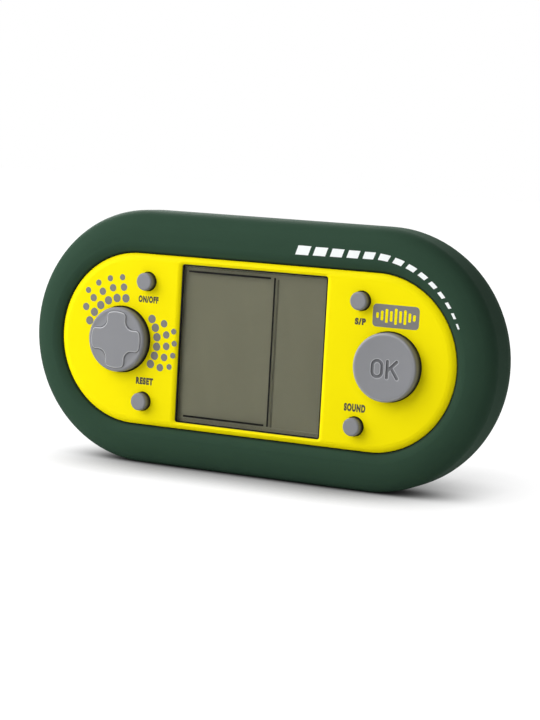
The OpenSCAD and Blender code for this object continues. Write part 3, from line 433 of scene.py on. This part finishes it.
def shade_key(material):
    """Three painted marks over a key's grey: a painted highlight along the edges and painted shade in sunk
    lines, both from the mesh's own values, and painted shade darker along Object Y towards the foot."""
    tree = material.node_tree
    for name, colour in (("painted_highlight", KEY_PAINTED_HIGHLIGHT), ("sunk", KEY_PAINTED_SHADE)):
        own = tree.nodes.new("ShaderNodeAttribute")
        own.attribute_name = name
        lay_over(material, own.outputs["Fac"], colour)
    foot = ranged(tree, object_axes(tree)["Y"], FACE_Y - GAP_FROM * MM, FACE_Y - GAP_TO * MM, smooth=True)
    lay_over(material, foot, KEY_FOOT_SHADE)


def own_values(mesh, name, values):
    """Writes one value per point of a body made by stack; its two end points get 0."""
    mesh.attributes.new(name, "FLOAT", "POINT").data.foreach_set("value", np.append(values.ravel(), [0, 0]))


shade_key(key_grey)
dress(key_grey, "on_off_button", "reset_button", "start_button", "sound_button")
PAD_R, PAD_H, PAD_EDGE = 9.85, 3.4, 0.9
CROSS_W, CROSS_R, CROSS_TIP, CROSS_H, CROSS_CORNER = 6.5, 2.6, 8.65, 0.35, 0.9
CROSS_EDGE, PETAL_DIP, PETAL_WIDE = 0.42, 0.16, 1.5
# shares of painted highlight over the cross's rounded top edge, then of painted shade at its foot and into
# the petals, loop by loop outwards
EDGE_PAINTED_HIGHLIGHT = np.array([0.1, 0.7, 1, 1, 0.8, 0.3, 0, 0, 0])
EDGE_PAINTED_SHADE = np.array([0, 0, 0, 0, 0, 0.4, 1, 1, 1, 0.6, 0])
PAD_FLANGE = ((9.85, -4.9), (11.25, -4.9), (11.25, -5.7), (6.0, -5.7))


def cross_gap(x, z):
    """Distance out of the cross: half an arm from each axis, or the hollow arc between two arms,
    met with the tip circle and rounded where the two cross."""
    far, near = np.maximum(np.abs(x), np.abs(z)), np.minimum(np.abs(x), np.abs(z))
    hub = CROSS_W / 2 + CROSS_R
    side = np.where(far < hub, CROSS_R - np.hypot(hub - far, hub - near), near - CROSS_W / 2) + CROSS_CORNER
    tip = np.hypot(x, z) - CROSS_TIP + CROSS_CORNER
    within = np.minimum(np.maximum(side, tip), 0)
    return within + np.hypot(np.maximum(side, 0), np.maximum(tip, 0)) - CROSS_CORNER


def cross_reach(level, turn):
    """Distance from the pad's centre at which a ray is that far out of the cross, by halving."""
    low = np.zeros(np.broadcast_shapes(level.shape, turn.shape))
    high = np.full_like(low, 12.0)
    for _ in range(40):
        mid = (low + high) / 2
        out = cross_gap(mid * np.cos(turn), mid * np.sin(turn)) > level
        low, high = np.where(out, low, mid), np.where(out, mid, high)
    return low


def pad_rings():
    """Loops of the pad from the middle of the cross outwards: its top, its soft edge, the dipped petals,
    the round shoulder, the side and the flange, all on the same rays; also their painted highlight and
    painted shade."""
    turn = np.linspace(0, 2 * np.pi, 960, endpoint=False)[None]
    edge = np.linspace(0, 1, len(EDGE_PAINTED_HIGHLIGHT))[:, None]
    wall = cross_reach((edge - 0.7) * CROSS_EDGE, turn)
    fall = edge ** 2 * (3 - 2 * edge)
    inside = np.array([0.02, 0.3, 0.6, 0.85, 0.97])[:, None]
    petal = np.array([0.06, 0.14, 0.3, 0.5, 0.7, 0.86, 1])[:, None]
    flat_r = PAD_R - PAD_EDGE
    room = flat_r - wall[-1:]
    bend = np.linspace(0, np.pi / 2, 10)[1:, None]
    even = np.ones_like(turn)
    reach = np.vstack([wall[:1] * inside, wall, wall[-1:] + room * petal,
                       (flat_r + PAD_EDGE * np.sin(bend)) * even] + [r * even for r, _ in PAD_FLANGE])
    out = np.vstack([(PAD_H + CROSS_H) * np.ones_like(inside) * even, (PAD_H + CROSS_H * (1 - fall)) * even,
                     PAD_H - PETAL_DIP * np.minimum(room / PETAL_WIDE, 1) * np.sin(np.pi * petal),
                     (PAD_H - PAD_EDGE * (1 - np.cos(bend))) * even] + [o * even for _, o in PAD_FLANGE])
    loops = on_face(pad_x + reach * np.cos(turn), pad_z + reach * np.sin(turn), out)
    painted_highlight, sunk = np.zeros_like(reach), np.zeros_like(reach)
    first = len(inside)
    painted_highlight[first:first + len(EDGE_PAINTED_HIGHLIGHT)] = EDGE_PAINTED_HIGHLIGHT[:, None]
    sunk[first:first + len(EDGE_PAINTED_SHADE)] = EDGE_PAINTED_SHADE[:, None]
    return loops, painted_highlight, sunk


pad_loops, pad_painted_highlight, pad_painted_shade = pad_rings()
pad_mesh = stack("direction_pad", pad_loops)
own_values(pad_mesh, "painted_highlight", pad_painted_highlight)
own_values(pad_mesh, "sunk", pad_painted_shade)
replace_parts(add_piece("direction_pad", pad_mesh, key_grey, "dpad_pad"), "dpad")

OK_R, OK_H, OK_EDGE, OK_DISH, OK_DISH_R = 10.0, 3.7, 0.9, 0.35, 8.8
OK_FLANGE = ((10.0, -4.1), (11.6, -4.1), (11.6, -5.0), (8.0, -5.0))
WORD_AT, WORD_REACH, STROKE, SINK, SINK_EDGE = (0.45, -0.45), 5.6, 0.82, 0.34, 0.16
# shares of painted highlight beside the strokes and on the round edge, and of painted shade in the strokes
STROKE_PAINTED_HIGHLIGHT, STROKE_PAINTED_SHADE, RIM_PAINTED_HIGHLIGHT = 0.55, 0.6, 0.3
O_AT, O_HALF, O_CORNER = (-2.6, 0.0), (1.5, 2.3), 1.45
K_LINES = ((0.55, -2.35, 0.55, 2.35), (0.75, -0.25, 3.45, 2.35), (1.65, 0.6, 3.75, -2.35))
ok_x, ok_z = key_centre("ok_button")


def word_gap(x, z):
    """Distance from the middle of the nearest stroke: the rounded O outline or one of K's three lines."""
    across = np.abs(x - O_AT[0]) - O_HALF[0] + O_CORNER
    upward = np.abs(z - O_AT[1]) - O_HALF[1] + O_CORNER
    oval = np.minimum(np.maximum(across, upward), 0) + np.hypot(np.maximum(across, 0), np.maximum(upward, 0))
    gap = np.abs(oval - O_CORNER)
    for x0, z0, x1, z1 in K_LINES:
        run, rise = x1 - x0, z1 - z0
        share = np.clip(((x - x0) * run + (z - z0) * rise) / (run ** 2 + rise ** 2), 0, 1)
        gap = np.minimum(gap, np.hypot(x - x0 - share * run, z - z0 - share * rise))
    return gap


def ok_rings():
    """Loops of the OK key from the middle of its dish outwards, sunk along the word's strokes, then the
    round edge, the side and the flange; also the painted shade in the strokes, and the painted highlight
    beside them and along the round edge."""
    turn = np.linspace(0, 2 * np.pi, 560, endpoint=False)[None]
    flat_r = OK_R - OK_EDGE
    fine = np.append(np.linspace(0.04, WORD_REACH, 76), np.linspace(WORD_REACH + 0.3, flat_r, 10))[:, None]
    bend = np.linspace(0, np.pi / 2, 10)[1:, None]
    even = np.ones_like(turn)
    reach = np.vstack([fine * even, (flat_r + OK_EDGE * np.sin(bend)) * even]
                      + [r * even for r, _ in OK_FLANGE])
    dish = OK_DISH * np.maximum(1 - (fine / OK_DISH_R) ** 2, 0)
    out = np.vstack([(OK_H - dish) * even, (OK_H - OK_EDGE * (1 - np.cos(bend))) * even]
                    + [o * even for _, o in OK_FLANGE])
    x, z = reach * np.cos(turn), reach * np.sin(turn)
    gap = word_gap(x - WORD_AT[0], z - WORD_AT[1])
    near = np.clip((STROKE / 2 - gap) / SINK_EDGE + 0.5, 0, 1)
    sunk = near ** 2 * (3 - 2 * near) * (reach < OK_DISH_R)
    painted_highlight = STROKE_PAINTED_HIGHLIGHT * np.exp(-((gap - STROKE / 2 - 0.17) / 0.1) ** 2) * (reach < OK_DISH_R)
    painted_highlight += RIM_PAINTED_HIGHLIGHT * np.exp(-((reach - OK_R + OK_EDGE / 2) / 0.25) ** 2) * (out > OK_H - OK_EDGE)
    return on_face(ok_x + x, ok_z + z, out - SINK * sunk), STROKE_PAINTED_SHADE * sunk, painted_highlight


ok_loops, ok_painted_shade, ok_painted_highlight = ok_rings()
ok_mesh = stack("ok_key_cap", ok_loops)
own_values(ok_mesh, "sunk", ok_painted_shade)
own_values(ok_mesh, "painted_highlight", ok_painted_highlight)
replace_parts(add_piece("ok_key_cap", ok_mesh, key_grey, "ok_key"), "ok_button")

# Battery door: a flush panel moulded in the same green, with a ribbed tab for a fingernail.
# Two hooks catch behind one edge of the bay, and the tab springs in under the other.
dress(soft_green, "battery_door")

# Screws: zinc-plated steel with cross recesses, driven straight into the plastic.
# Six close the case from the rear shell's wells, and four hold the main board to the front shell.
zinc = moulded("zinc", (168, 170, 172), 0.36, grain=1500, relief=0.05, metallic=1.0)
dress(zinc, "case_screws", "board_screws")

# Stage: white paper under a large soft lamp high on the left, with a weak fill and a lamp for the back.
# The camera stands where a fit of the plate, the window and the outline puts it.
YAW, PITCH, ROLL = (math.radians(a) for a in (27.1242, 5.6208, 3.1879))
AWAY, SHIFT_X, SHIFT_Z = 0.65386, -0.0059928, 0.0028490
FOCUS_PX, FRAME_H = 2203.88, 720
back = np.array([math.sin(YAW) * math.cos(PITCH), -math.cos(YAW) * math.cos(PITCH), math.sin(PITCH)])
level = np.array([math.cos(YAW), math.sin(YAW), 0])
above = np.cross(level, -back)
right = math.cos(ROLL) * level + math.sin(ROLL) * above
up = -math.sin(ROLL) * level + math.cos(ROLL) * above
spot = np.array([0, FACE_Y, PLATE_Z]) - SHIFT_X * right - SHIFT_Z * up + AWAY * back
optics = bpy.data.cameras.new("photo_camera")
optics.sensor_fit = "VERTICAL"
optics.sensor_height = 36
optics.lens = FOCUS_PX * optics.sensor_height / FRAME_H
camera = bpy.data.objects.new("photo_camera", optics)
bpy.context.scene.collection.objects.link(camera)
stand = np.eye(4)
stand[:3] = np.stack([right, up, back, spot], 1)
camera.matrix_world = Matrix(stand.tolist())
bpy.context.scene.camera = camera


def add_lamp(name, at, aim, size, watts):
    """Square soft lamp at a point, turned towards another."""
    lamp = bpy.data.lights.new(name, "AREA")
    lamp.size = size
    lamp.energy = watts
    thing = bpy.data.objects.new(name, lamp)
    bpy.context.scene.collection.objects.link(thing)
    to = np.array(at, float) - np.array(aim, float)
    to /= np.linalg.norm(to)
    side = np.cross((0, 0, 1), to)
    side /= np.linalg.norm(side)
    turn = np.eye(4)
    turn[:3] = np.stack([side, np.cross(to, side), to, at], 1)
    thing.matrix_world = Matrix(turn.tolist())


LAMP_AIM = (0, 0, 0.04)
add_lamp("key_lamp", (-1.0, -0.82, 0.95), LAMP_AIM, 1.8, 37.8)
add_lamp("fill_lamp", (0.2, -1.0, 0.25), LAMP_AIM, 0.9, 1.0)
add_lamp("back_lamp", (-1.0, 1.0, 0.95), LAMP_AIM, 0.8, 24.0)
ROOM_LIT, ROOM_SEEN, PAPER_LIT, PAPER_SEEN, PAPER_HALF = 0.16, 1.0, 0.8, 0.1, 4.0
# each soft shadow: its reach, the side it is open to, two distances along X and its strength at each
SHADOWS = ((0.03, (0, 0, 1), 0.03, 0.072, 2.0, 0.12), (0.07, (-0.36, -0.64, 0.68), 0.05, 0.082, 0.7, 0.1))


def seen_light(tree):
    """1 for what the camera, a reflection or a clear sheet shows, and 0 for light that falls on things."""
    path = tree.nodes.new("ShaderNodeLightPath").outputs
    shown = math_node(tree, "MAXIMUM", path["Is Camera Ray"], path["Is Glossy Ray"])
    return math_node(tree, "MAXIMUM", shown, path["Is Transmission Ray"])


world = bpy.data.worlds.new("white_room")
bpy.context.scene.world = world
world.use_nodes = True
room_tree = world.node_tree
room = room_tree.nodes["Background"]
room.inputs["Color"].default_value = (1, 1, 1, 1)
room_tree.links.new(ranged(room_tree, seen_light(room_tree), first=ROOM_LIT, last=ROOM_SEEN),
                    room.inputs["Strength"])

floor_mesh = bpy.data.meshes.new("floor")
floor_corners = np.array([(-1, -1, 0), (1, -1, 0), (1, 1, 0), (-1, 1, 0)]) * PAPER_HALF
floor_mesh.from_pydata(floor_corners.tolist(), [], [(0, 1, 2, 3)])
floor = bpy.data.objects.new("floor", floor_mesh)
bpy.context.scene.collection.objects.link(floor)
paper = bpy.data.materials.new("white_paper")
paper.use_nodes = True
paper_tree = paper.node_tree
paper_inputs = paper_tree.nodes["Principled BSDF"].inputs
paper_inputs["Roughness"].default_value = 0.9
paper_inputs["Specular IOR Level"].default_value = 0.0
paper_inputs["Emission Color"].default_value = (1, 1, 1, 1)
glow = seen_light(paper_tree)
paper_tree.links.new(ranged(paper_tree, glow, first=PAPER_LIT, last=PAPER_SEEN), paper_inputs["Base Color"])
aside = math_node(paper_tree, "ABSOLUTE", object_axes(paper_tree)["X"], 0)
for reach, open_to, *ramp in SHADOWS:
    hidden = paper_tree.nodes.new("ShaderNodeAmbientOcclusion")
    hidden.samples = 12
    hidden.inputs["Distance"].default_value = reach
    facing = paper_tree.nodes.new("ShaderNodeCombineXYZ")
    for socket, share in zip(facing.inputs, open_to):
        socket.default_value = share
    paper_tree.links.new(facing.outputs["Vector"], hidden.inputs["Normal"])
    dim = math_node(paper_tree, "POWER", hidden.outputs["AO"], ranged(paper_tree, aside, *ramp))
    glow = math_node(paper_tree, "MULTIPLY", glow, dim)
paper_tree.links.new(glow, paper_inputs["Emission Strength"])
floor_mesh.materials.append(paper)
bpy.context.scene.view_settings.view_transform = "Standard"
